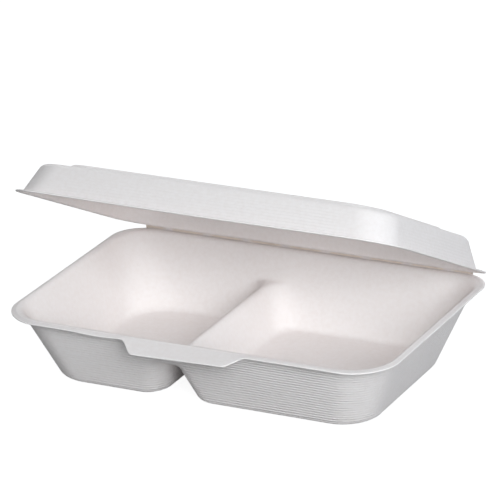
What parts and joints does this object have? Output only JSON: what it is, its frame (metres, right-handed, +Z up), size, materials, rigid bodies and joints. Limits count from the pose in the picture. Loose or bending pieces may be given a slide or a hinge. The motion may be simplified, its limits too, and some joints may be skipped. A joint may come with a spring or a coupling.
{
  "type": "bagasse food container",
  "caption": "Moulded sugarcane-pulp takeaway box: a tapered tray with a low divider, drooping rim and front tab, and a shallow lid with a raised panel, hinged along the rear edge.",
  "frame": {"origin": "on the ground, under the middle of the rim rectangle, which is on the larger compartment's flat foot", "axes": "+Z up, +X along the long side towards the larger compartment, -Y towards the front tab"},
  "size_m": [0.24, 0.1647, 0.1252],
  "materials": {
    "pulp": "matt pressed plant fibre, smooth inside, fine wire-mesh imprint outside"
  },
  "bodies": {
    "tray": {"tray": "pulp"},
    "lid": {"lid": "pulp"}
  },
  "joints": [
    {"name": "lid_hinge", "type": "hinge", "parent": "tray", "child": "lid", "pos_m": [0, 0.07755, 0.04405], "axis": [-1, 0, 0], "range_deg": [-27.1, 152.9]}
  ]
}
